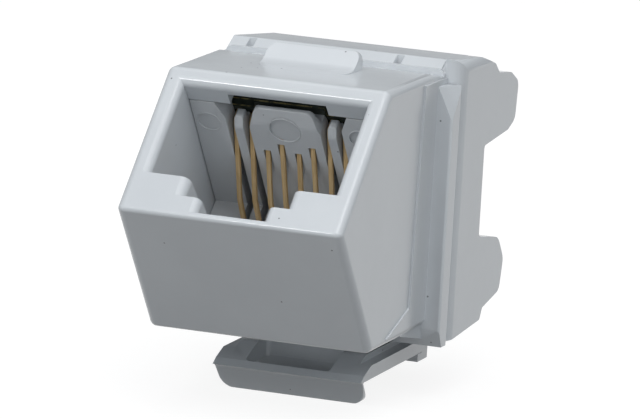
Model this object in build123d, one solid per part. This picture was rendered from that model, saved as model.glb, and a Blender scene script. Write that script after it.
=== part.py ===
from build123d import *
import os
from math import atan2, degrees, radians, sqrt, tan

# Keystone jack with a nose whose port leans 45 degrees.
# Origin: middle of the collar's front face, where the panel seats. +X right, +Y to the rear, +Z up.
# All sizes are millimetres. The port's own directions are u, along the plug into the jack, and v, across it.

# Nose, the part that shows in front of the panel
nose_width = 14.5
nose_height = 16.06
facet_angle = 45.0
ridge_rise = 8.4
foot_setback = 6.76
nose_reach = 16.21
nose_edge_radius = 0.5
ridge_radius = 0.28
band_rise = 0.12
band_length = 2.3
band_lead = 0.65
band_chin_run = 4.0
band_chin_rise = 1.25
wall = 1.13
cheek_wall = 1.3

# Port opening and the cavity behind it
plug_height = 6.85
sill = 2.9
rim_radius = 0.5
lip_depth = 1.68
lip_notch_depth = 0.95
lip_notch_width = 6.4
lip_notch_rise = 0.9
step_width = 6.6
step_height = 1.4
key_width = 4.3
key_height = 1.1
notch_depth = 9.5
step_corner_radius = 0.6
key_corner_radius = 0.5

# Collar behind the panel
collar_width = 16.78
collar_length = 1.65
collar_top = 7.17
collar_bottom = -9.23
collar_ramp_height = 2.1
collar_edge_radius = 0.3
collar_front_radius = 0.15
chin_height = 1.1
chin_depth = 0.55
rail_width = 1.9
rail_length = 3.85
rail_inset = 0.1
rail_drop = 0.8

# Fixed hook and stop shelf on the top
hook_width = 6.0
hook_rise = 1.15
hook_ramp = 1.6
hook_lead = 1.5
hook_crest = 0.15
hook_plan_radius = 1.3
hook_foot_radius = 1.6
hook_corner_radius = 0.6
panel_gap = 1.95
trough_front = 0.75
trough_depth = 0.42
shelf_left = -7.2
shelf_right = 6.9
shelf_gap = 0.3
shelf_front = 1.35
shelf_top = 8.47
shelf_rear_drop = 0.3
shelf_length = 5.6
shelf_kerb = 0.16
shelf_slope_run = 1.28
shelf_thickness = 1.2
shelf_root = 0.6
shelf_trim_front = 2.6
shelf_trim_slope = 0.275
shelf_front_radius = 0.25
window_left = -5.85
window_right = 3.95
window_width = 0.5
window_length = 0.75
window_setback = 0.45
window_depth = 0.9

# Rear housing with its two rows of wire towers
body_top = 8.67
body_rear = 6.7
crown_length = 4.0
crown_drop = 0.3
shoulder_run = 2.3
shoulder_drop = 1.0
neck_run = 0.9
neck_rise = 0.3
tower_reach = 12.85
tower_tip_run = 1.6
tower_tip_drop = 0.8
tower_heel_rise = 0.87
tower_floor_rise = 0.37
upper_row_top = 6.67
upper_row_floor = 2.6
lower_row_top = -3.2
lower_row_floor = -7.9
lower_reach = 11.95
lower_tip_run = 1.3
lower_tip_drop = 0.65
lower_brow_drop = 2.2
lower_heel_run = 0.5
lower_heel_rise = 0.47
belly_run = 1.55
belly_drop = 0.13
keel_run = 0.4
keel_rise = 0.5
keel_length = 2.7
keel_step = 0.3
sole_rise = 0.08
crown_radius = 2.0
shoulder_radius = 0.8
tip_radius = 1.2
brow_radius = 0.7
heel_radius = 0.9
corner_radius = 0.25
keel_radius = 0.4
lower_tip_radius = 1.5
tower_count = 4
tower_margin = 1.15
wire_slot_width = 1.3
wire_slot_depth = 5.0
slot_mouth = 0.5
part_groove = 0.3
part_groove_depth = 0.35
part_groove_length = 5.0
body_edge_radius = 0.9
body_front_radius = 1.1

# Boards
main_board_thickness = 1.2
main_board_margin = 0.25
main_board_end = 1.03
board_clearance = 0.1
port_board_thickness = 0.8
port_board_side = 1.15
port_board_front = 2.8
port_board_tongue = 4.6
port_board_shoulder = 3.5
board_hole = 0.78

# Contact carrier
face_height = 9.62
face_slope = 0.123
face_datum = 2.5
carrier_top = 10.85
carrier_clearance = 0.05
cheek_front = 1.78
cheek_corner = 0.5
cheek_corner_run = 1.2
centre_front = 2.1
centre_brow = 9.95
centre_tongue_top = 10.25
centre_tongue = 1.2
centre_bend = 1.05
centre_bend_radius = 1.5
centre_waist = 3.6
centre_front_width = 3.7
centre_corner_radius = 0.6
fin_front = 3.1
fin_brow = 9.9
fin_tongue_top = 10.5
fin_tongue = 0.8
fin_bend = 0.6
fin_bend_radius = 0.8
fin_corner_radius = 0.2
comb_wall = 10.7
comb_wall_thickness = 1.9
comb_depth = 1.0
comb_foot = 6.5
comb_window_top = 8.4
slot_width = 0.46
slot_run_out = 0.2
slot_floor_gap = 0.35
ejector_diameter = 2.0
ejector_u = 3.5
cheek_ejector_diameter = 1.5
cheek_ejector_u = 3.5
cheek_ejector_x = 4.95
ejector_depth = 0.08

# Spring contacts
contact_count = 8
contact_pitch = 1.016
contact_width = 0.3
contact_thickness = 0.26
contact_slope = 30.0
contact_even_slope = 26.6
contact_bend = 0.45
contact_flex = 6.0
knee_radius = 1.2
knee_u = 8.75
knee_v = 7.68
tip_u = 11.1
tip_drop = 0.55
pin_stickout = 0.55
leg_clearance = 0.3
root_outer = 4.1
root_even = 4.3
root_odd = 4.95

# Wire contacts
blade_width = 2.9
blade_thickness = 0.4
blade_slit = 0.36
blade_slit_depth = 2.6
blade_tip_setback = 1.3
blade_tip_bevel = 0.4
blade_mouth = 0.35
blade_pin_width = 0.6
blade_clearance = 0.06

# Latch
latch_width = 9.8
latch_bottom = -11.15
latch_top = -9.9
latch_front = -4.15
latch_brow = 0.35
latch_brow_run = 0.55
latch_ramp = 0.85
latch_ramp_run = 2.35
latch_ramp_radius = 1.5
latch_ledge = 0.75
latch_ledge_drop = 0.4
latch_window_width = 5.6
latch_window_shift = -0.2
latch_window_length = 4.0
latch_window_radius = 0.3
lip_drop = 1.6
lip_thickness = 0.8
lip_taper = 0.25
lip_corner_radius = 0.9
lip_edge_radius = 0.15
lip_brow_run = 0.35
lip_brow_radius = 0.5
stop_rib = 0.9
stop_rib_length = 0.9
stop_rib_width = 6.4
hinge_y = 7.3
hinge_clearance = 0.06
boss_width = 9.7
boss_wall = 0.5
boss_overlap = 0.6

# Excess of a cut past its face, overlap of joined forms, and how near an edge is to a place
over = 0.5
blend = 0.1
near = 0.01
S = sqrt(0.5)

# Derived places
cavity_width = nose_width - 2 * cheek_wall
ridge_y = -nose_reach
nose_top = nose_height / 2
nose_bottom = -nose_height / 2
ridge_z = nose_bottom + ridge_rise
facet_top_y = ridge_y + (nose_top - ridge_z) / tan(radians(facet_angle))
foot_y = ridge_y + foot_setback
pocket_top = nose_top - wall
pocket_bottom = nose_bottom + wall
lip_v = sill + plug_height
lip_top_v = (pocket_top - ridge_z) / S + lip_depth
comb_rear = comb_wall + comb_wall_thickness
port_board_width = cavity_width - 2 * port_board_side
port_board_top = carrier_top + port_board_thickness
pivot_v = carrier_top + port_board_thickness / 2
hinge_radius = (latch_top - latch_bottom) / 2
hinge_z = (latch_top + latch_bottom) / 2
latch_window_front = latch_front + latch_brow_run
latch_window_rear = latch_window_front + latch_window_length
latch_window_z = latch_top - latch_ramp
shelf_low = shelf_top - shelf_thickness
shelf_rear = shelf_front + shelf_length
main_board_width = nose_width - 2 * main_board_margin
main_board_height = nose_height - 2 * main_board_end
main_board_front = collar_length
main_board_rear = main_board_front + main_board_thickness
tower_pitch = (main_board_width - 2 * tower_margin) / (tower_count - 1)


# A point of the port's frame as a point of the part's YZ plane
def jack(u, v):
    return (ridge_y + (u + v) * S, ridge_z + (v - u) * S)


# The height of the carrier's face above the port's floor line
def face_v(u):
    return face_height - face_slope * (u - face_datum)


# A closed outline in YZ, drawn out both ways along X
def prism(points, width, centre=0.0):
    outline = make_face(Plane.YZ * Polyline(*points, close=True))
    return Pos(centre, 0, 0) * extrude(outline, amount=width / 2, both=True)


# The same with a radius on each corner
def round_prism(points, radii, width, centre=0.0):
    outline = make_face(Plane.YZ * FilletPolyline(*points, radius=radii, close=True))
    return Pos(centre, 0, 0) * extrude(outline, amount=width / 2, both=True)


# The same two with their points in the port's frame
def jack_prism(points, width, centre=0.0):
    return prism([jack(u, v) for u, v in points], width, centre)


def round_jack_prism(points, radii, width, centre=0.0):
    return round_prism([jack(u, v) for u, v in points], radii, width, centre)


# An outline across the port and along it, as (x, u), drawn out from one height v to another
def jack_plan(points, radii, low, high):
    plane = Plane(origin=(0, *jack(0, low)), x_dir=(1, 0, 0), z_dir=(0, S, S))
    outline = make_face(plane * FilletPolyline(*points, radius=radii, close=True))
    return extrude(outline, amount=high - low, dir=(0, S, S))


# Where a point lies in the port's frame
def port_place(point):
    y = point.Y - ridge_y
    z = point.Z - ridge_z
    return (y - z) * S, (y + z) * S


# An upright outline, as (x, y), from one level to another
def upright(outline, low, high):
    face = make_face(Pos(0, 0, low) * outline)
    return extrude(face, amount=high - low, dir=(0, 0, 1))


# A front view, as (x, z), drawn out from one y to another
def rearward(outline, front, rear):
    face = Pos(0, front, 0) * make_face(Plane.XZ * outline)
    return extrude(face, amount=rear - front, dir=(0, 1, 0))


# A block from its limits
def block(x0, x1, y0, y1, z0, z1):
    size = (x1 - x0, y1 - y0, z1 - z0)
    middle = ((x0 + x1) / 2, (y0 + y1) / 2, (z0 + z1) / 2)
    return Pos(*middle) * Box(*size)


# The eight places across the port, one for each contact
def contact_places():
    first = -contact_pitch * (contact_count - 1) / 2
    return [first + contact_pitch * i for i in range(contact_count)]


# Front housing: nose, collar, hook and shelf moulded in one
def nose_solid():
    outline = [(ridge_y, ridge_z), (facet_top_y, nose_top), (collar_length, nose_top),
               (collar_length, nose_bottom), (foot_y, nose_bottom)]
    nose = prism(outline, nose_width)
    front = nose.edges().filter_by(lambda e: e.center().Y < collar_length - near)
    nose = fillet(front.filter_by(lambda e: e.center().Y > ridge_y + near), nose_edge_radius)
    ridge = nose.edges().filter_by(Axis.X).filter_by(lambda e: abs(e.center().Y - ridge_y) < near)
    return fillet(ridge, ridge_radius)


# Raised band round the nose just in front of the panel seat
def band_solid():
    high = nose_top - nose_edge_radius
    low = nose_bottom + nose_edge_radius
    front = -band_length - band_lead
    outline = [(-band_length, high), (collar_length, high), (collar_length, low),
               (front - band_chin_run, low), (front, low + band_chin_rise)]
    return prism(outline, nose_width + 2 * band_rise)


def collar_solid():
    edge = collar_width / 2
    collar = block(-edge, edge, 0, collar_length, collar_bottom, collar_top)
    uprights = collar.edges().filter_by(Axis.Z).sort_by(Axis.Y)
    collar = fillet(uprights[2:], collar_edge_radius)
    fronts = collar.edges().filter_by(Axis.Z).sort_by(Axis.Y)[:2]
    collar = fillet(fronts, collar_front_radius)
    slope = chin_depth / chin_height
    chin = [(-over, collar_bottom + chin_height + over / slope), (-over, collar_bottom - over),
            (chin_depth + over * slope, collar_bottom - over)]
    collar -= prism(chin, collar_width + over)
    for side in (-1, 1):
        collar -= collar_ramp(side)
    return collar


# The slanted cut that fades the collar into the nose at its top corner
def collar_ramp(side):
    edge = collar_width / 2
    ledge = nose_width / 2 + band_rise
    foot_z = collar_top - collar_ramp_height
    base = Wire.make_polygon([(side * edge, 0, foot_z), (side * ledge, 0, collar_top),
                              (side * edge, collar_length, collar_top)], close=True)
    away = Vector(side * (edge + collar_width), -collar_width, collar_top + collar_width)
    faces = [Face(base)]
    corners = base.vertices()
    for i in range(3):
        a = Vector(corners[i])
        b = Vector(corners[(i + 1) % 3])
        faces.append(Face(Wire.make_polygon([a, b, away], close=True)))
    return Solid(Shell(faces))


# The two rails under the nose that guide the latch
def rail_solid(side):
    centre = nose_width / 2 - rail_inset - rail_width / 2
    drop = nose_bottom - rail_drop
    outline = [(-rail_length, nose_bottom + blend), (chin_depth, drop), (collar_length, drop),
               (collar_length, nose_bottom + over), (-rail_length, nose_bottom + over)]
    return prism(outline, rail_width, side * centre)


# Fixed hook that catches the panel's top edge, on a tongue with a rounded front
def hook_solid():
    crest_y = -panel_gap
    foot = crest_y - hook_ramp
    lead = foot - hook_lead
    crest_z = nose_top + hook_rise
    sunk = nose_top - blend
    half = hook_width / 2
    outline = [(lead, sunk), (lead, nose_top), (foot, nose_top + blend), (crest_y - hook_crest, crest_z),
               (crest_y, crest_z - hook_crest), (crest_y, sunk)]
    tongue = round_prism(outline, [0, 0, hook_foot_radius, hook_crest / 2, 0, 0], hook_width)
    plan = FilletPolyline((-half, crest_y), (-half, lead), (half, lead), (half, crest_y),
                          radius=[0, hook_plan_radius, hook_plan_radius, 0], close=True)
    front_view = FilletPolyline((-half, sunk), (-half, crest_z), (half, crest_z), (half, sunk),
                                radius=[0, hook_corner_radius, hook_corner_radius, 0], close=True)
    return tongue & upright(plan, sunk, crest_z) & rearward(front_view, lead, crest_y)


# Shelf that runs back over the rear housing, with two snap slots in its front slope
def shelf_solid():
    tread = nose_top - trough_depth
    outline = [(shelf_front - shelf_root, tread), (shelf_front, tread), (shelf_front, tread + shelf_kerb),
               (shelf_front + shelf_slope_run, shelf_top), (shelf_rear, shelf_top - shelf_rear_drop),
               (shelf_rear, shelf_low), (shelf_front - shelf_root, shelf_low)]
    radii = [0, 0, shelf_kerb / 2, shelf_front_radius, shelf_front_radius, 0, 0]
    shelf = round_prism(outline, radii, shelf_right - shelf_left, (shelf_left + shelf_right) / 2)
    y = shelf_front + window_setback
    for x in (window_left, window_right):
        shelf -= block(x - window_width / 2, x + window_width / 2, y, y + window_length,
                       shelf_top - window_depth, shelf_top + over)
    return shelf - corner_trim()


# What is left out at the top's left corner, from the collar's top upwards
def corner_trim():
    rear = tower_reach
    inner = shelf_left + shelf_trim_slope * (rear - shelf_trim_front)
    outline = Polyline((shelf_left, 0), (shelf_left, shelf_trim_front), (inner, rear),
                       (-collar_width, rear), (-collar_width, 0), close=True)
    return upright(outline, collar_top, body_top + over)


# Shallow trough across the nose's top, where the panel's edge lies
def panel_trough():
    floor = nose_top - trough_depth
    outline = [(-trough_front, nose_top + over), (-trough_front, nose_top),
               (shelf_front - trough_depth, floor), (shelf_front, floor), (shelf_front, nose_top + over)]
    return prism(outline, collar_width)


def port_cavity():
    floor_end = sill + (ridge_z - pocket_bottom) / S
    rear = collar_length + over
    outline = [jack(-over, sill), jack(floor_end, sill), (rear, pocket_bottom), (rear, pocket_top),
               jack(lip_depth, lip_top_v), jack(lip_depth, lip_v), jack(-over, lip_v)]
    cavity = prism(outline, cavity_width)
    step_floor = sill - step_height
    step = jack_prism([(-over, step_floor), (notch_depth, step_floor), (notch_depth, sill + blend),
                       (-over, sill + blend)], step_width)
    key_floor = step_floor - key_height
    key = jack_prism([(-over, key_floor), (notch_depth, key_floor), (notch_depth, sill), (-over, sill)],
                     key_width)
    front = lip_depth - lip_notch_depth
    lip_notch = jack_prism([(front, lip_v - blend), (lip_depth + blend, lip_v - blend),
                            (lip_depth + blend, lip_top_v), (front, lip_v + lip_notch_rise)],
                           lip_notch_width)
    return cavity + step + key + lip_notch


def front_housing():
    body = nose_solid() + band_solid() + collar_solid()
    body -= panel_trough()
    body = body + shelf_solid() + hook_solid()
    for side in (-1, 1):
        body += rail_solid(side)
    body -= port_cavity()
    body = round_port_rim(body)
    step_floor = sill - step_height
    body = round_notch(body, step_width, step_floor, sill, step_corner_radius)
    return round_notch(body, key_width, step_floor - key_height, step_floor, key_corner_radius)


# Rounds the port's rim along its top and both sides, where it meets the slanted face
def round_port_rim(body):
    half = cavity_width / 2
    rim = []
    for e in body.edges():
        u, v = port_place(e.center())
        if abs(u) > near:
            continue
        if abs(v - lip_v) < near and e.length > cavity_width - over:
            rim.append(e)
        if abs(abs(e.center().X) - half) < near and sill < v < lip_v:
            rim.append(e)
    return fillet(rim, rim_radius)


# Rounds both upright corners of a notch in the sill, where it meets the slanted face
def round_notch(body, width, low, high, radius):
    corners = []
    for e in body.edges():
        u, v = port_place(e.center())
        if abs(u) < near and low < v < high and abs(abs(e.center().X) - width / 2) < near:
            corners.append(e)
    return fillet(corners, radius)


# Rear housing with the wire towers
def rear_outline():
    crown_end = collar_length + crown_length
    shoulder = crown_end + shoulder_run
    neck = shoulder + neck_run
    tip = tower_reach - tower_tip_run
    belly = body_rear + belly_run
    keel = belly - keel_run
    return [(collar_length, body_top), (crown_end, body_top - crown_drop),
            (shoulder, body_top - shoulder_drop), (neck, upper_row_top + neck_rise),
            (tip, upper_row_top), (tower_reach, upper_row_top - tower_tip_drop),
            (tower_reach - neck_rise, upper_row_floor + tower_heel_rise),
            (tip, upper_row_floor + tower_floor_rise), (body_rear, upper_row_floor),
            (body_rear, lower_row_top), (lower_reach - lower_tip_run, lower_row_top - lower_tip_drop),
            (lower_reach, lower_row_top - lower_brow_drop),
            (lower_reach - lower_heel_run, lower_row_floor + lower_heel_rise),
            (belly, lower_row_floor - belly_drop), (keel, collar_bottom + keel_rise),
            (keel - keel_length, collar_bottom + keel_step), (collar_length, collar_bottom + sole_rise)]


def rear_housing():
    radii = [0, crown_radius, shoulder_radius, 0, tip_radius, brow_radius, brow_radius, heel_radius,
             corner_radius, corner_radius, lower_tip_radius, heel_radius, brow_radius, corner_radius,
             corner_radius, keel_radius, 0]
    body = round_prism(rear_outline(), radii, collar_width)
    body = round_shoulders(body)
    body -= shelf_recess()
    body -= board_pocket()
    body -= corner_trim()
    for side in (-1, 1):
        body -= groove_cut(side)
    for x in tower_places():
        body -= wire_slot(x, upper_row_floor - over, body_top + over, tower_reach)
        body -= wire_slot(x, collar_bottom - over, lower_row_top + over, lower_reach)
        for row in (1, -1):
            body -= blade_pocket(x, row)
    return body + latch_boss()


# Rounds the upright edges beside the collar and the crown's edges above them
def round_shoulders(body):
    half = collar_width / 2
    fronts = body.edges().filter_by(Axis.Z).filter_by(lambda e: abs(e.center().Y - collar_length) < near)
    body = fillet(fronts, body_front_radius)
    low = collar_bottom - over
    front_view = FilletPolyline((-half, low), (-half, body_top), (half, body_top), (half, low),
                                radius=[0, body_edge_radius, body_edge_radius, 0], close=True)
    return body & rearward(front_view, collar_length, tower_reach)


# The wire places across a row of towers
def tower_places():
    first = -tower_pitch * (tower_count - 1) / 2
    return [first + tower_pitch * i for i in range(tower_count)]


def shelf_recess():
    return block(shelf_left - over, shelf_right + shelf_gap, collar_length - over,
                 shelf_rear + board_clearance, shelf_low - blade_clearance, body_top + over)


def board_pocket():
    half = main_board_width / 2 + board_clearance
    tall = main_board_height / 2 + board_clearance
    return block(-half, half, collar_length - over, main_board_rear, -tall, tall)


# The deep end of the parting groove between the housings
def groove_cut(side):
    width = part_groove_depth + over
    centre = side * (collar_width / 2 + (over - part_groove_depth) / 2)
    return block(centre - width / 2, centre + width / 2, collar_length - over,
                 collar_length + part_groove, collar_top - part_groove_length, body_top + over)


def wire_slot(x, low, high, reach):
    half = wire_slot_width / 2
    floor = reach - wire_slot_depth
    mouth = half + slot_mouth
    rear = reach + over
    bevel = reach - 2 * slot_mouth
    outline = Polyline((x - half, floor), (x + half, floor), (x + half, bevel), (x + mouth, rear),
                       (x - mouth, rear), (x - half, bevel), close=True)
    return upright(outline, low, high)


def row_middle(row):
    if row > 0:
        return (upper_row_floor + upper_row_top) / 2
    return (lower_row_top + lower_row_floor) / 2


def row_reach(row):
    return tower_reach if row > 0 else lower_reach


def blade_pocket(x, row):
    z = row_middle(row)
    half = blade_width / 2 + blade_clearance
    thick = blade_thickness / 2 + blade_clearance
    tip = row_reach(row) - blade_tip_setback + board_clearance
    return block(x - half, x + half, main_board_rear - over, tip, z - thick, z + thick)


# The block under the rear housing that the latch hangs from
def latch_boss():
    half = boss_width / 2
    seat = hinge_radius + hinge_clearance
    front = hinge_y - hinge_radius
    rear = hinge_y + seat + boss_wall
    low = hinge_z - seat - boss_wall
    boss = block(-half, half, front, rear, low, collar_bottom + boss_overlap)
    mouth = block(-half - over, half + over, front - over, hinge_y, hinge_z - seat, hinge_z + seat)
    return boss - hinge_rod(seat, boss_width + over) - mouth


def hinge_rod(radius, width):
    return Pos(0, hinge_y, hinge_z) * Rot(0, 90, 0) * Cylinder(radius, width)


# Latch: a sprung plate with a window, a finger lip that catches the panel and a stop rib behind it
def latch():
    outline = [(latch_front, latch_window_z - latch_brow), (latch_window_front, latch_window_z),
               (latch_window_front + latch_ramp_run, latch_top), (hinge_y, latch_top),
               (hinge_y, latch_bottom), (latch_front + lip_brow_run, latch_bottom)]
    plate = round_prism(outline, [0, lip_edge_radius, latch_ramp_radius, 0, 0, 0], latch_width)
    for side in (-1, 1):
        plate -= latch_step(side)
    plate += hinge_rod(hinge_radius, latch_width)
    plate += finger_lip()
    rib_rear = latch_window_rear + stop_rib_length
    rib_low = latch_bottom - stop_rib
    plate += prism([(latch_window_rear, latch_bottom + blend), (latch_window_rear, rib_low),
                    (rib_rear, rib_low), (rib_rear + 2 * stop_rib_length, latch_bottom + blend)],
                   stop_rib_width, latch_window_shift)
    half = latch_window_width / 2
    window = block(latch_window_shift - half, latch_window_shift + half, latch_window_front,
                   latch_window_rear, latch_bottom - blend, latch_top + over)
    return plate - fillet(window.edges().filter_by(Axis.Z), latch_window_radius)


# The lower ledge along each side of the plate
def latch_step(side):
    width = latch_ledge + over
    centre = side * (latch_width / 2 + (over - latch_ledge) / 2)
    return block(centre - width / 2, centre + width / 2, latch_window_front, hinge_y,
                 latch_top - latch_ledge_drop, latch_top + over)


# The lip that a finger presses, turned down and back, with rounded lower corners
def finger_lip():
    foot_z = latch_bottom - lip_drop
    root = latch_window_front - near
    outline = [(latch_front, latch_window_z - latch_brow), (latch_front + lip_brow_run, latch_bottom),
               (-panel_gap - lip_thickness, foot_z), (-panel_gap, foot_z),
               (root, latch_bottom - blend), (root, latch_window_z - blend)]
    lip = round_prism(outline, [0, lip_brow_radius, lip_edge_radius, lip_edge_radius, 0, 0], latch_width)
    half = latch_width / 2
    low = half - lip_taper
    front_view = FilletPolyline((-half, latch_window_z), (-half, latch_bottom), (-low, foot_z),
                                (low, foot_z), (half, latch_bottom), (half, latch_window_z),
                                radius=[0, 0, lip_corner_radius, lip_corner_radius, 0, 0], close=True)
    return lip & rearward(front_view, latch_front, -panel_gap)


# Contact carrier: the comb that holds the springs apart
def contact_carrier():
    width = cavity_width - 2 * carrier_clearance
    places = contact_places()
    body = jack_prism([(comb_wall, sill + carrier_clearance), (comb_rear, sill + carrier_clearance),
                       (comb_rear, carrier_top), (comb_wall, carrier_top)], width)
    body += centre_panel(places[-2])
    for side in (-1, 1):
        body += cheek(side, places[-1], width / 2)
        body += fin(side * (places[-1] + places[-2]) / 2)
    for i, x in enumerate(places):
        body -= contact_slot(i, x)
    body -= ejector_mark(0, ejector_u, ejector_diameter)
    for side in (-1, 1):
        body -= ejector_mark(side * cheek_ejector_x, cheek_ejector_u, cheek_ejector_diameter)
    return body - block(-width, width, main_board_front - board_clearance, main_board_front + width,
                        nose_bottom, nose_top)


# A strip of the carrier along the port, with its front bent up and a thin tongue at the front
def carrier_strip(front, bend, radius, brow, tongue, tongue_top, width, centre):
    bend_u = front + bend
    step_u = front + tongue
    outline = [(front, brow), (bend_u, face_v(bend_u)), (comb_rear, face_v(comb_rear)),
               (comb_rear, carrier_top), (step_u, carrier_top), (step_u, tongue_top), (front, tongue_top)]
    return round_jack_prism(outline, [blend, radius, 0, 0, 0, 0, blend], width, centre)


# The panel between the second and the seventh spring
def centre_panel(half):
    panel = carrier_strip(centre_front, centre_bend, centre_bend_radius, centre_brow, centre_tongue,
                          centre_tongue_top, 2 * half, 0)
    waist = half - slot_width / 2
    front = centre_front_width / 2
    plan = jack_plan([(-half, comb_rear), (-half, centre_waist), (-waist, centre_waist),
                      (-front, centre_front), (front, centre_front), (waist, centre_waist),
                      (half, centre_waist), (half, comb_rear)],
                     [0, 0, 0, centre_corner_radius, centre_corner_radius, 0, 0, 0],
                     comb_foot, carrier_top)
    return panel & plan


# A narrow strip between two springs, with a rounded front
def fin(centre):
    half = (contact_pitch - slot_width) / 2
    strip = carrier_strip(fin_front, fin_bend, fin_bend_radius, fin_brow, fin_tongue, fin_tongue_top,
                          2 * half, centre)
    plan = jack_plan([(centre - half, comb_rear), (centre - half, fin_front), (centre + half, fin_front),
                      (centre + half, comb_rear)],
                     [0, fin_corner_radius, fin_corner_radius, 0], comb_foot, carrier_top)
    return strip & plan


# The wide strip beside the outermost spring, with its inner front corner cut off
def cheek(side, inner, outer):
    strip = jack_prism([(cheek_front, face_v(cheek_front)), (comb_rear, face_v(comb_rear)),
                        (comb_rear, carrier_top), (cheek_front, carrier_top)],
                       outer - inner, side * (inner + outer) / 2)
    edge = inner + slot_width / 2
    corner = [(inner - blend, cheek_front - blend), (edge + cheek_corner, cheek_front - blend),
              (edge + cheek_corner, cheek_front), (edge, cheek_front + cheek_corner_run),
              (inner - blend, cheek_front + cheek_corner_run)]
    cut = jack_plan([(side * x, u) for x, u in corner], [0, 0, 0, 0, 0], comb_foot, carrier_top + over)
    return strip - cut


# The root of each spring in the board, set further in for the middle four
def root_of(i):
    if i in (0, 1, 6, 7):
        return root_outer
    return root_even if i in (3, 5) else root_odd


# How steeply a spring falls across the port, shallower for the two that start at root_even
def fall_of(i, flex=0.0):
    slope = contact_even_slope if root_of(i) == root_even else contact_slope
    return tan(radians(slope - flex))


# The height of a spring's straight run
def beam_v(i, u):
    return knee_v + fall_of(i) * (knee_u - u)


# The slot that a spring lies in, with a window for its tip right through the comb's wall
def contact_slot(i, x):
    back = comb_wall + comb_depth
    high = carrier_top + over
    window = jack_prism([(comb_wall - over, comb_foot), (comb_rear + over, comb_foot),
                         (comb_rear + over, comb_window_top), (comb_wall - over, comb_window_top)],
                        slot_width, x)
    root = root_of(i)
    if root == root_outer:
        return window + jack_prism([(lip_depth, comb_foot), (back, comb_foot), (back, high),
                                    (lip_depth, high)], slot_width, x)
    room = contact_thickness / 2 + leg_clearance
    rise = beam_v(i, root) - face_v(root)
    top_u = root + rise / (fall_of(i) - face_slope) - slot_run_out
    floor_v = beam_v(i, root) + slot_floor_gap
    end_u = root + room + (rise + slot_floor_gap) / (fall_of(i, contact_flex) - face_slope)
    points = [(root - room, high), (root - room, beam_v(i, root) - leg_clearance),
              (top_u, face_v(top_u) - blend), (end_u, face_v(end_u) - blend), (end_u, face_v(end_u)),
              (root + room, floor_v), (root + room, high)]
    return window + jack_prism(points, slot_width, x)


# The round mark that an ejector pin leaves in the face
def ejector_mark(x, u, diameter):
    y, z = jack(u, face_v(u))
    tilt = facet_angle + degrees(atan2(face_slope, 1))
    return Pos(x, y, z) * Rot(-tilt, 0, 0) * Cylinder(diameter / 2, 2 * ejector_depth)


# Spring contact: pin, bend, beam and free end in one wire
def spring_contact(i, x):
    root = root_of(i)
    points = [jack(root, port_board_top + pin_stickout), jack(root, beam_v(i, root)),
              jack(knee_u, knee_v), jack(tip_u, knee_v - tip_drop)]
    route = FilletPolyline(*[(x, y, z) for y, z in points], radius=[contact_bend, knee_radius])
    start = Plane(origin=route @ 0, x_dir=(1, 0, 0), z_dir=route % 0)
    return sweep(start * Rectangle(contact_width, contact_thickness), path=route)


# Port board, along the plug's direction above the carrier, and main board behind it
def port_board():
    reach = (collar_length - ridge_y) / S
    outline = [(port_board_shoulder, carrier_top), (reach - carrier_top, carrier_top),
               (reach - port_board_top, port_board_top), (port_board_shoulder, port_board_top)]
    board = jack_prism(outline, port_board_width)
    joint = port_board_shoulder + blend
    board += jack_prism([(port_board_front, carrier_top), (joint, carrier_top), (joint, port_board_top),
                         (port_board_front, port_board_top)], port_board_tongue)
    for i, x in enumerate(contact_places()):
        y, z = jack(root_of(i), pivot_v)
        drill = Cylinder(board_hole / 2, port_board_thickness + over)
        board -= Pos(x, y, z) * Rot(-facet_angle, 0, 0) * drill
    return board


def main_board():
    half = main_board_width / 2
    tall = main_board_height / 2
    board = block(-half, half, main_board_front, main_board_rear, -tall, tall)
    for x in tower_places():
        for row in (1, -1):
            board -= pin_hole(x, row_middle(row))
    return board


def pin_hole(x, z):
    half = blade_pin_width / 2 + blade_clearance
    thick = blade_thickness / 2 + blade_clearance
    return block(x - half, x + half, main_board_front - over, main_board_rear + over, z - thick, z + thick)


# Wire contact: a flat blade with a slit that bites the wire, and a pin into the board
def wire_contact(x, row):
    z = row_middle(row)
    tip = row_reach(row) - blade_tip_setback
    half = blade_width / 2
    pin = blade_pin_width / 2
    slit = blade_slit / 2
    foot = main_board_front + board_clearance
    shoulder = main_board_rear + blade_clearance
    right = [(pin, foot), (pin, shoulder), (half, shoulder), (half, tip - blade_tip_bevel),
             (half - blade_tip_bevel, tip), (slit + blade_mouth, tip), (slit, tip - 2 * blade_mouth),
             (slit, tip - blade_slit_depth)]
    left = [(-dx, y) for dx, y in reversed(right)]
    outline = Polyline(*[(x + dx, y) for dx, y in right + left], close=True)
    return upright(outline, z - blade_thickness / 2, z + blade_thickness / 2)


def build():
    parts = {
        "front_housing": front_housing(),
        "rear_housing": rear_housing(),
        "latch": latch(),
        "contact_carrier": contact_carrier(),
        "port_board": port_board(),
        "main_board": main_board(),
    }
    for i, x in enumerate(contact_places()):
        parts[f"spring_contact_{i + 1}"] = spring_contact(i, x)
    number = 1
    for row in (1, -1):
        for x in tower_places():
            parts[f"wire_contact_{number}"] = wire_contact(x, row)
            number += 1
    return parts


os.makedirs("parts", exist_ok=True)
for node, shape in build().items():
    export_step(shape, f"parts/{node}.step")
    print(node, len(shape.solids()), round(shape.volume, 2))
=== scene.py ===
from math import cos, radians, sin

import bmesh
import bpy
from mathutils import Matrix, Vector


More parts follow.
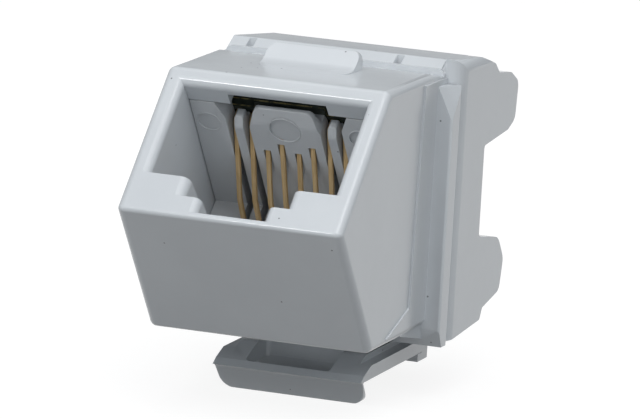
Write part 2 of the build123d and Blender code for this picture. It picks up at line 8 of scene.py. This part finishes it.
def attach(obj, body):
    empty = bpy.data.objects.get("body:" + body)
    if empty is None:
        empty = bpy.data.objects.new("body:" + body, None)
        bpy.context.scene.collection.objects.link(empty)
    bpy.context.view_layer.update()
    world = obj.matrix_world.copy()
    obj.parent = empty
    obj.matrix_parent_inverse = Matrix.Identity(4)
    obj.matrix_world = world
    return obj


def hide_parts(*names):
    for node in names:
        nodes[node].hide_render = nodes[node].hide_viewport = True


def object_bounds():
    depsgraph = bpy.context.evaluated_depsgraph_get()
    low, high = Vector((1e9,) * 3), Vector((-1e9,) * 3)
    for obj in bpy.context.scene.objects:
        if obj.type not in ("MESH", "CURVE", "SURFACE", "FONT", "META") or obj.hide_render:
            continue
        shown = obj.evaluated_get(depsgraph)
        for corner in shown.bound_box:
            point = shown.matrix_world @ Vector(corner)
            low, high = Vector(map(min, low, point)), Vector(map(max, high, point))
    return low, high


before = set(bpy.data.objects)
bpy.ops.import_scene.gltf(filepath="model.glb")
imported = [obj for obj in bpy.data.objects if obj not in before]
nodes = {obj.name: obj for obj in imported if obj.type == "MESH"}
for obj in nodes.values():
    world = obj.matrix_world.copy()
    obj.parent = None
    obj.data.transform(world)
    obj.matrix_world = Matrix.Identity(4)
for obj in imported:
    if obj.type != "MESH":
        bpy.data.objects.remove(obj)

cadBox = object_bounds()
print("frame loaded,", len(nodes), "nodes")


def newObject(name, data):
    made = bpy.data.objects.new(name, data)
    bpy.context.scene.collection.objects.link(made)
    return made


# Where the photograph was taken from: angles in degrees, the lens in millimetres, lengths in metres
photoView = {
    "aim": (0.00057, -0.001324, -0.001131),
    "distance": 0.41384,
    "azimuth": 19.479,
    "elevation": 10.708,
    "roll": 3.368,
    "lens": 375.7,
    "nearest": 0.01,
    "farthest": 10,
}


def addCamera(view):
    azimuth, elevation = radians(view["azimuth"]), radians(view["elevation"])
    back = Vector((sin(azimuth) * cos(elevation), -cos(azimuth) * cos(elevation), sin(elevation)))
    level = Vector((0, 0, 1)).cross(back).normalized()
    right = Matrix.Rotation(radians(view["roll"]), 3, back) @ level
    up = back.cross(right)
    turn = Matrix((right, up, back)).transposed().to_4x4()
    camera = newObject("camera", bpy.data.cameras.new("camera"))
    camera.matrix_world = Matrix.Translation(Vector(view["aim"]) + back * view["distance"]) @ turn
    camera.data.lens = view["lens"]
    camera.data.clip_start = view["nearest"]
    camera.data.clip_end = view["farthest"]
    bpy.context.scene.camera = camera


addCamera(photoView)
print("camera placed")


# A number or colour inside a material, so that a pattern is written as a sum
class Shade:
    def __init__(self, finish, socket):
        self.finish = finish
        self.socket = socket

    def maths(self, operation, first, second):
        return self.finish.node("ShaderNodeMath", {"operation": operation}, {0: first, 1: second})

    def __add__(self, other):
        return self.maths("ADD", self, other)

    def __radd__(self, other):
        return self.maths("ADD", other, self)

    def __rsub__(self, other):
        return self.maths("SUBTRACT", other, self)

    def __mul__(self, other):
        return self.maths("MULTIPLY", self, other)

    def __rmul__(self, other):
        return self.maths("MULTIPLY", other, self)

    def __lt__(self, other):
        return self.maths("LESS_THAN", self, other)

    def __gt__(self, other):
        return self.maths("GREATER_THAN", self, other)


# One material: its node tree, the shader at its end and the one way to add a node. Fixed values
# and links name the shader's sockets, with _ for a space.
class Finish:
    def __init__(self, name, **fixed):
        self.material = bpy.data.materials.new(name)
        self.material.use_nodes = True
        self.tree = self.material.node_tree
        self.shader = self.tree.nodes["Principled BSDF"]
        for socket, value in fixed.items():
            self.shader.inputs[socket.replace("_", " ")].default_value = value

    def node(self, kind, settings=None, sockets=None, output=0):
        made = self.tree.nodes.new(kind)
        for setting, value in (settings or {}).items():
            setattr(made, setting, value)
        for socket, value in (sockets or {}).items():
            if isinstance(value, Shade):
                self.tree.links.new(value.socket, made.inputs[socket])
            else:
                made.inputs[socket].default_value = value
        return Shade(self, made.outputs[output])

    def place(self):
        return self.node("ShaderNodeTexCoord", output="Object")

    def noise(self, pattern, place=None):
        return self.node("ShaderNodeTexNoise", sockets={"Vector": place or self.place(), **pattern})

    def cells(self, pattern, output="Distance"):
        return self.node("ShaderNodeTexVoronoi", sockets={"Vector": self.place(), **pattern},
                         output=output)

    def stretched(self, scale):
        return self.node("ShaderNodeMapping", sockets={"Vector": self.place(), "Scale": scale})

    def steps(self, value, ends):
        return self.node("ShaderNodeMapRange", {"clamp": True}, {
            "Value": value, "From Min": ends[0], "From Max": ends[1]})

    # A Mix node takes colours at its sockets 6 and 7 and gives one at its output 2
    def blend(self, amount, first, second):
        first, second = (end if isinstance(end, Shade) else (*end, 1) for end in (first, second))
        return self.node("ShaderNodeMix", {"data_type": "RGBA"}, {0: amount, 6: first, 7: second},
                         output=2)

    def bump(self, height, depth):
        return self.node("ShaderNodeBump", sockets={"Height": height, **depth})

    def feed(self, **links):
        for socket, value in links.items():
            self.tree.links.new(value.socket, self.shader.inputs[socket.replace("_", " ")])
        return self.material


def mixture(first, second, shares):
    return first * shares[0] + second * shares[1]


# Moulded plastic: flow shade, faint orange peel, and the odd dark speck in the resin
housingLook = {
    "pale": (0.600, 0.626, 0.652),
    "deep": (0.570, 0.596, 0.624),
    "flow": {"Scale": 160.0, "Detail": 3.0, "Roughness": 0.6},
    "flowSteps": (0.35, 0.65),
    "grain": {"Scale": 2600.0, "Detail": 2.0, "Roughness": 0.5},
    "colourShares": (0.75, 0.25),
    "specks": {"Scale": 900.0, "Randomness": 1.0},
    "speckColour": (0.22, 0.23, 0.24),
    "speckRadius": 0.055,
    "speckShare": 0.68,
    "roughness": 0.15,
    "roughnessSwing": 0.06,
    "roughnessShares": (0.6, 0.4),
    "peel": {"Scale": 900.0, "Detail": 2.0, "Roughness": 0.5},
    "bumpShares": (0.7, 0.3),
    "bump": {"Strength": 0.10, "Distance": 0.00002},
    "Specular_IOR_Level": 0.5,
    "IOR": 1.49,
}


def mouldedPlastic(name, look):
    finish = Finish(name, IOR=look["IOR"], Specular_IOR_Level=look["Specular_IOR_Level"])
    flow = finish.steps(finish.noise(look["flow"]), look["flowSteps"])
    grain = finish.noise(look["grain"])
    near = finish.cells(look["specks"]) < look["speckRadius"]
    chosen = finish.node("ShaderNodeSeparateColor", sockets={
        "Color": finish.cells(look["specks"], output="Color")}) > look["speckShare"]
    colour = finish.blend(mixture(flow, grain, look["colourShares"]), look["deep"], look["pale"])
    colour = finish.blend(near * chosen, colour, look["speckColour"])
    peel = finish.noise(look["peel"])
    swing = mixture(flow, grain, look["roughnessShares"])
    roughness = look["roughness"] + look["roughnessSwing"] * swing
    normal = finish.bump(mixture(peel, grain, look["bumpShares"]), look["bump"])
    return finish.feed(Base_Color=colour, Roughness=roughness, Normal=normal)


# The comb is moulded in a slightly warmer grey with less polish
carrierLook = dict(housingLook, pale=(0.575, 0.590, 0.606), deep=(0.540, 0.556, 0.574),
                   roughness=0.36, speckShare=0.85)

# Lacquered glass cloth board: weave under nearly black green lacquer
boardLook = {
    "lacquer": (0.010, 0.016, 0.012),
    "cloth": (0.060, 0.072, 0.056),
    "mottle": {"Scale": 700.0, "Detail": 4.0, "Roughness": 0.7},
    "mottleSteps": (0.42, 0.66),
    "weave": {"Scale": 1900.0, "Randomness": 0.35},
    "weaveShade": 0.5,
    "copper": (0.300, 0.250, 0.110),
    "layerHalf": 0.00005,
    "breaks": {"Scale": 1500.0, "Detail": 3.0, "Roughness": 0.7},
    "breakSteps": (0.42, 0.58),
    "roughness": 0.34,
    "roughnessSwing": 0.2,
    "bump": {"Strength": 0.15, "Distance": 0.00002},
}

# The port board leans, so its copper layers are told by how far a point lies across the port
leaningLayers = {"across": (0, 0.70711, 0.70711), "levels": (-0.00020, 0.00030)}


def lacqueredBoard(name, look, layers=None):
    finish = Finish(name)
    mottle = finish.steps(finish.noise(look["mottle"]), look["mottleSteps"])
    weave = finish.cells(look["weave"])
    colour = finish.blend(mottle * (1 - weave * look["weaveShade"]), look["lacquer"], look["cloth"])
    if layers:
        across = finish.node("ShaderNodeVectorMath", {"operation": "DOT_PRODUCT"},
                             {0: finish.place(), 1: layers["across"]}, output="Value")
        worn = finish.steps(finish.noise(look["breaks"]), look["breakSteps"])
        half = look["layerHalf"]
        for level in layers["levels"]:
            inside = (across > level - half) * (across < level + half)
            colour = finish.blend(inside * worn, colour, look["copper"])
    roughness = look["roughness"] + look["roughnessSwing"] * mottle
    return finish.feed(Base_Color=colour, Roughness=roughness,
                       Normal=finish.bump(weave, look["bump"]))


# Gold plated spring wire: drawn along its length, worn a little darker in streaks
goldLook = {
    "bright": (0.860, 0.620, 0.330),
    "dull": (0.560, 0.370, 0.170),
    "stretch": (5200.0, 160.0, 160.0),
    "streak": {"Scale": 1.0, "Detail": 3.0, "Roughness": 0.6},
    "streakSteps": (0.35, 0.65),
    "patch": {"Scale": 900.0, "Detail": 2.0, "Roughness": 0.5},
    "patchSteps": (0.4, 0.7),
    "colourShares": (0.6, 0.3),
    "metallic": 0.72,
    "roughness": 0.38,
    "roughnessSwing": 0.15,
    "bump": {"Strength": 0.12, "Distance": 0.00001},
}

# Tinned blades in the wire towers
tinLook = dict(goldLook, bright=(0.700, 0.690, 0.660), dull=(0.520, 0.515, 0.500),
               stretch=(2600.0, 220.0, 2600.0),
               patch={"Scale": 600.0, "Detail": 2.0, "Roughness": 0.5},
               metallic=1.0, roughness=0.30)


def drawnMetal(name, look):
    finish = Finish(name, Metallic=look["metallic"])
    streak = finish.noise(look["streak"], finish.stretched(look["stretch"]))
    streak = finish.steps(streak, look["streakSteps"])
    patch = finish.steps(finish.noise(look["patch"]), look["patchSteps"])
    wear = mixture(streak, patch, look["colourShares"])
    colour = finish.blend(wear, look["bright"], look["dull"])
    roughness = look["roughness"] + look["roughnessSwing"] * streak
    return finish.feed(Base_Color=colour, Roughness=roughness,
                       Normal=finish.bump(streak, look["bump"]))


finishes = {
    "housing": mouldedPlastic("housingPlastic", housingLook),
    "carrier": mouldedPlastic("carrierPlastic", carrierLook),
    "board": lacqueredBoard("boardLacquer", boardLook),
    "portBoard": lacqueredBoard("portBoardLacquer", boardLook, leaningLayers),
    "gold": drawnMetal("goldPlate", goldLook),
    "tin": drawnMetal("tinPlate", tinLook),
}
print("finishes ready")

# The finish of each node, told by how its name starts; the mouldings have the housing's
finishStarts = {
    "contact_carrier": "carrier",
    "main_board": "board",
    "port_board": "portBoard",
    "spring_contact": "gold",
    "wire_contact": "tin",
}


def paintLike(node, mesh):
    finish = "housing"
    for start, other in finishStarts.items():
        if node.startswith(start):
            finish = other
    mesh.materials.clear()
    mesh.materials.append(finishes[finish])


# Each moulding and spring gets a copy with merged faces and softened edges, which stands for its
# node; edge is how far the softening reaches on either side
softEdges = {
    "front_housing": {"piece": "frontMoulding", "body": "housing", "edge": 0.00015},
    "rear_housing": {"piece": "rearMoulding", "body": "housing", "edge": 0.00012},
    "latch": {"piece": "latchMoulding", "body": "latch", "edge": 0.00012},
    "contact_carrier": {"piece": "combMoulding", "body": "housing", "edge": 0.00006},
}
springCount = 8
for number in range(1, springCount + 1):
    spring = f"spring_contact_{number}"
    softEdges[spring] = {"piece": f"springWire{number}", "body": spring, "edge": 0.00004}

# Weld in metres, flat and sharp in radians: faces that bend less than flat merge into one, and
# edges that bend more than sharp are softened
edgeCare = {
    "weld": 0.000002,
    "flat": 0.02,
    "sharp": 0.5,
    "rounds": 2,
    "flatWeight": 100,
}


def softenEdges(piece, width, care):
    soften = piece.modifiers.new("softEdge", "BEVEL")
    soften.width = width
    soften.segments = care["rounds"]
    soften.limit_method = "ANGLE"
    soften.angle_limit = care["sharp"]
    soften.use_clamp_overlap = True


def softCopy(node, size, care):
    mesh = nodes[node].data.copy()
    mesh.name = size["piece"]
    shape = bmesh.new()
    shape.from_mesh(mesh)
    bmesh.ops.remove_doubles(shape, verts=shape.verts, dist=care["weld"])
    bmesh.ops.dissolve_limit(shape, angle_limit=care["flat"], verts=shape.verts, edges=shape.edges,
                             delimit={"NORMAL"})
    shape.to_mesh(mesh)
    shape.free()
    piece = newObject(size["piece"], mesh)
    paintLike(node, mesh)
    mesh.shade_smooth()
    softenEdges(piece, size["edge"], care)
    level = piece.modifiers.new("levelNormals", "WEIGHTED_NORMAL")
    level.weight = care["flatWeight"]
    level.keep_sharp = True
    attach(piece, size["body"])
    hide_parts(node)


for node, size in softEdges.items():
    softCopy(node, size, edgeCare)
for name, item in nodes.items():
    paintLike(name, item.data)
print("mouldings softened")


def pieceFrom(shape, name, finish, body):
    mesh = bpy.data.meshes.new(name)
    shape.to_mesh(mesh)
    shape.free()
    mesh.materials.append(finishes[finish])
    piece = newObject(name, mesh)
    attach(piece, body)
    return piece


# Bars drawn from an outline in the side view: the rib under the latch, run on past its window's
# corner, and the web that closes the shelf's right end against the rear housing
barSizes = {
    "stopRib": {
        "body": "latch",
        "left": -0.00420,
        "right": 0.00302,
        "outline": ((0.00038, -0.01100), (0.00038, -0.01210), (0.00131, -0.01210),
                    (0.00313, -0.01113), (0.00313, -0.01100)),
        "edge": 0.00008,
    },
    "shelfWeb": {
        "body": "housing",
        "left": 0.00688,
        "right": 0.00722,
        "outline": ((0.00142, 0.00735), (0.00142, 0.00772), (0.00268, 0.00840),
                    (0.00690, 0.00810), (0.00690, 0.00735)),
        "edge": 0.00004,
    },
}


def addBar(name, size, care):
    shape = bmesh.new()
    outline = size["outline"]
    left, right = ([shape.verts.new((x, y, z)) for y, z in outline]
                   for x in (size["left"], size["right"]))
    shape.faces.new(left)
    shape.faces.new(right)
    for i in range(len(outline)):
        after = (i + 1) % len(outline)
        shape.faces.new((left[i], left[after], right[after], right[i]))
    bmesh.ops.recalc_face_normals(shape, faces=shape.faces)
    piece = pieceFrom(shape, name, "housing", size["body"])
    softenEdges(piece, size["edge"], care)


for name, size in barSizes.items():
    addBar(name, size, edgeCare)
print("latch rib and shelf web added")

# Y and Z of the ejector marks' centres on the comb in metres, and the degrees their face leans back
markPlace = {"centre": (-0.00702, 0.00461), "lean": 52.0}


# Takes a shape that lies flat at the origin to the marks' face, or that far into it
def onMark(place, into=0.0):
    turn = Matrix.Rotation(radians(-place["lean"]), 4, "X")
    return Matrix.Translation((0, *place["centre"])) @ turn @ Matrix.Translation((0, 0, into))


# Fine ridges that ejector pins leave round their marks: one in the comb's middle, one in each cheek
ridgeRows = {
    "middleRidge": {"count": 1, "pitch": 0.0, "radius": 0.00100, "wire": 0.000035},
    "cheekRidges": {"count": 2, "pitch": 0.0099, "radius": 0.00075, "wire": 0.000030},
}
ridgeSteps = {"ring": 72, "wire": 8}


# A row of rings along X: named inputs for the sizes, realized and given its material at the end
def ridgeTree(steps):
    tree = bpy.data.node_groups.new("ridgeRow", "GeometryNodeTree")
    sockets = {}
    for label, kind in (("count", "NodeSocketInt"), ("pitch", "NodeSocketFloat"),
                        ("radius", "NodeSocketFloat"), ("wire", "NodeSocketFloat")):
        socket = tree.interface.new_socket(label, in_out="INPUT", socket_type=kind)
        sockets[label] = socket.identifier
    tree.interface.new_socket("Geometry", in_out="OUTPUT", socket_type="NodeSocketGeometry")

    def add(kind, inputs=None, operation=None):
        made = tree.nodes.new(kind)
        if operation:
            made.operation = operation
        for socket, value in (inputs or {}).items():
            if isinstance(value, bpy.types.NodeSocket):
                tree.links.new(value, made.inputs[socket])
            else:
                made.inputs[socket].default_value = value
        return made

    sizes = add("NodeGroupInput").outputs
    ring = add("GeometryNodeCurvePrimitiveCircle",
               {"Resolution": steps["ring"], "Radius": sizes["radius"]})
    wire = add("GeometryNodeCurvePrimitiveCircle",
               {"Resolution": steps["wire"], "Radius": sizes["wire"]})
    ridge = add("GeometryNodeCurveToMesh",
                {"Curve": ring.outputs["Curve"], "Profile Curve": wire.outputs["Curve"]})
    step = add("ShaderNodeCombineXYZ", {"X": sizes["pitch"]})
    gaps = add("ShaderNodeMath", {0: sizes["count"], 1: 1.0}, "SUBTRACT")
    half = add("ShaderNodeMath", {0: gaps.outputs[0], 1: -0.5}, "MULTIPLY")
    first = add("ShaderNodeMath", {0: half.outputs[0], 1: sizes["pitch"]}, "MULTIPLY")
    start = add("ShaderNodeCombineXYZ", {"X": first.outputs[0]})
    row = add("GeometryNodeMeshLine", {
        "Count": sizes["count"], "Start Location": start.outputs[0], "Offset": step.outputs[0]})
    spread = add("GeometryNodeInstanceOnPoints",
                 {"Points": row.outputs["Mesh"], "Instance": ridge.outputs["Mesh"]})
    real = add("GeometryNodeRealizeInstances", {"Geometry": spread.outputs["Instances"]})
    painted = add("GeometryNodeSetMaterial",
                  {"Geometry": real.outputs["Geometry"], "Material": finishes["carrier"]})
    add("NodeGroupOutput", {"Geometry": painted.outputs["Geometry"]})
    return tree, sockets


def addRidges(name, size, tree, sockets):
    source = newObject(name + "Source", bpy.data.meshes.new(name + "Source"))
    rows = source.modifiers.new("rows", "NODES")
    rows.node_group = tree
    for label, identifier in sockets.items():
        rows[identifier] = size[label]
    evaluated = source.evaluated_get(bpy.context.evaluated_depsgraph_get())
    mesh = bpy.data.meshes.new_from_object(evaluated)
    bpy.data.objects.remove(source)
    mesh.transform(onMark(markPlace))
    mesh.name = name
    mesh.shade_smooth()
    piece = newObject(name, mesh)
    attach(piece, "housing")


rowTree, rowSockets = ridgeTree(ridgeSteps)
for name, size in ridgeRows.items():
    addRidges(name, size, rowTree, rowSockets)
print("ejector ridges added")

# Floor of the middle ejector mark, a thin skin over the end of the slot behind it
markSkin = {
    "radius": 0.00097,
    "depth": 0.00008,
    "thickness": 0.00003,
    "corners": 64,
}


def addMarkFloor(size):
    shape = bmesh.new()
    bmesh.ops.create_cone(shape, cap_ends=True, segments=size["corners"], radius1=size["radius"],
                          radius2=size["radius"], depth=size["thickness"])
    into = size["depth"] + size["thickness"] / 2
    bmesh.ops.transform(shape, matrix=onMark(markPlace, into), verts=shape.verts)
    pieceFrom(shape, "markFloor", "carrier", "housing")


addMarkFloor(markSkin)
print("mark floor added")

# White floor: it keeps the part's shadow, and shows white to the camera and in reflections
floorLook = {
    "size": 4.0,
    "colour": 0.18,
    "shown": 0.87,
}


def addFloor(look):
    bpy.ops.mesh.primitive_plane_add(size=look["size"], location=(0, 0, cadBox[0].z))
    floor = bpy.context.object
    floor.name = "floor"
    grey = (look["colour"],) * 3
    finish = Finish("floorWhite", Base_Color=(*grey, 1), Roughness=1.0, Specular_IOR_Level=0.0,
                    Emission_Strength=1.0)
    seen = finish.node("ShaderNodeLightPath", output="Is Camera Ray")
    mirrored = finish.node("ShaderNodeLightPath", output="Is Glossy Ray")
    shown = finish.node("ShaderNodeMath", {"operation": "MAXIMUM"}, {0: seen, 1: mirrored})
    finish.feed(Emission_Color=finish.blend(shown, (0, 0, 0), (look["shown"],) * 3))
    floor.data.materials.append(finish.material)


addFloor(floorLook)

# Soft boxes aimed at the part: the key above and to the right, one overhead, a small one on the
# left that draws the thin glints along the rims, and weak ones that open the shadows
white = (1.0, 1.0, 1.0)
cool = (0.92, 0.97, 1.0)
lamps = {
    "keyLight": {"place": (0.17, -0.25, 0.48), "size": 0.32, "power": 0.91, "colour": white},
    "fillLight": {"place": (-0.12, -0.30, 0.46), "size": 0.22, "power": 0.30, "colour": white},
    "overheadLight": {"place": (0.05, 0.05, 0.50), "size": 0.50, "power": 0.91, "colour": white},
    "glintLight": {"place": (-0.20, -0.47, 0.31), "size": 0.045, "power": 0.55, "colour": white},
    "sideLight": {"place": (0.38, -0.26, 0.20), "size": 0.42, "power": 0.49, "colour": cool},
    "frontLight": {"place": (0.05, -0.46, -0.005), "size": 0.20, "power": 0.25, "colour": cool},
    "leftLight": {"place": (-0.40, -0.26, 0.04), "size": 0.34, "power": 0.44, "colour": cool},
}
worldLook = {"colour": (0.93, 0.97, 1.0), "strength": 0.28}


def addLamp(name, lamp):
    light = bpy.data.lights.new(name, "AREA")
    light.size = lamp["size"]
    light.energy = lamp["power"]
    light.color = lamp["colour"]
    box = newObject(name, light)
    box.location = lamp["place"]
    box.rotation_mode = "QUATERNION"
    box.rotation_quaternion = (-Vector(lamp["place"])).to_track_quat("-Z", "Y")


def addWorld(look):
    world = bpy.data.worlds.new("studio")
    bpy.context.scene.world = world
    world.use_nodes = True
    background = world.node_tree.nodes["Background"]
    background.inputs["Color"].default_value = (*look["colour"], 1)
    background.inputs["Strength"].default_value = look["strength"]


for name, lamp in lamps.items():
    addLamp(name, lamp)
addWorld(worldLook)
bpy.context.scene.view_settings.view_transform = "Standard"
print("floor and lamps ready")
